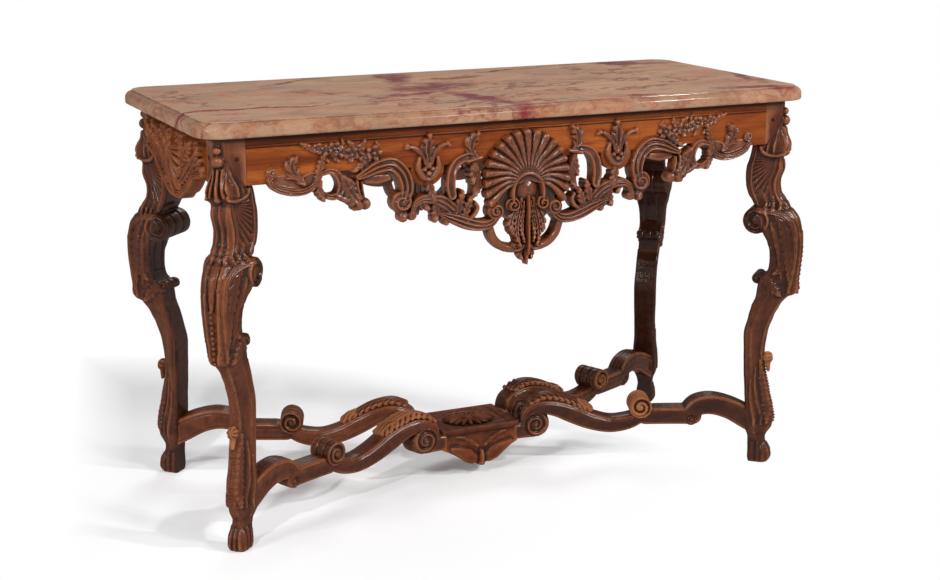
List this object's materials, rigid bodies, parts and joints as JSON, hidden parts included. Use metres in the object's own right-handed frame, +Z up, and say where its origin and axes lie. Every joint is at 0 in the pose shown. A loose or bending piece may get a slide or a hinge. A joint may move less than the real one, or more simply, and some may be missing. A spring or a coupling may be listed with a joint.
{
  "type": "center table",
  "caption": "Carved wooden center table with a moulded marble top, pierced scroll aprons with shells, diagonal scroll legs and a cross-shaped scroll stretcher.",
  "frame": {"origin": "on the floor under the centre of the slab", "axes": "+X to the right along the long front, +Y from the front to the back, +Z up"},
  "size_m": [1.2682, 0.5982, 0.8],
  "materials": {
    "marble": "polished pink and grey marble with wine-red veins",
    "apron_walnut": "waxed, golden brown on the rail and darker on the carving",
    "carved_walnut": "waxed, worn to a satin polish on the high parts",
    "pale_walnut": "paler replaced carving, satin",
    "secondary_wood": "unpolished",
    "peg_wood": "dark end grain"
  },
  "bodies": {
    "root": {"marble_top": "marble", "front_apron": "apron_walnut", "back_apron": "apron_walnut", "left_apron": "apron_walnut", "right_apron": "apron_walnut", "front_shell": "carved_walnut", "back_shell": "carved_walnut", "stretcher_platform": "carved_walnut", "leg_front_left": "carved_walnut", "arm_front_left": "carved_walnut", "corner_block_front_left": "secondary_wood", "leg_knob_front_left": "pale_walnut", "leg_front_right": "carved_walnut", "arm_front_right": "carved_walnut", "corner_block_front_right": "secondary_wood", "leg_knob_front_right": "pale_walnut", "leg_back_left": "carved_walnut", "arm_back_left": "carved_walnut", "corner_block_back_left": "secondary_wood", "leg_knob_back_left": "carved_walnut", "leg_back_right": "carved_walnut", "arm_back_right": "carved_walnut", "corner_block_back_right": "secondary_wood", "leg_knob_back_right": "carved_walnut", "arm_leaf_front_left": "pale_walnut", "arm_leaf_tip_back_left": "pale_walnut", "arm_leaf_tip_front_right": "pale_walnut", "arm_roll_front_right": "pale_walnut", "arm_roll_cap_back_right": "pale_walnut", "bearer_left": "secondary_wood", "bearer_right": "secondary_wood", "apron_pegs": "peg_wood", "arm_pegs": "peg_wood"}
  },
  "joints": []
}
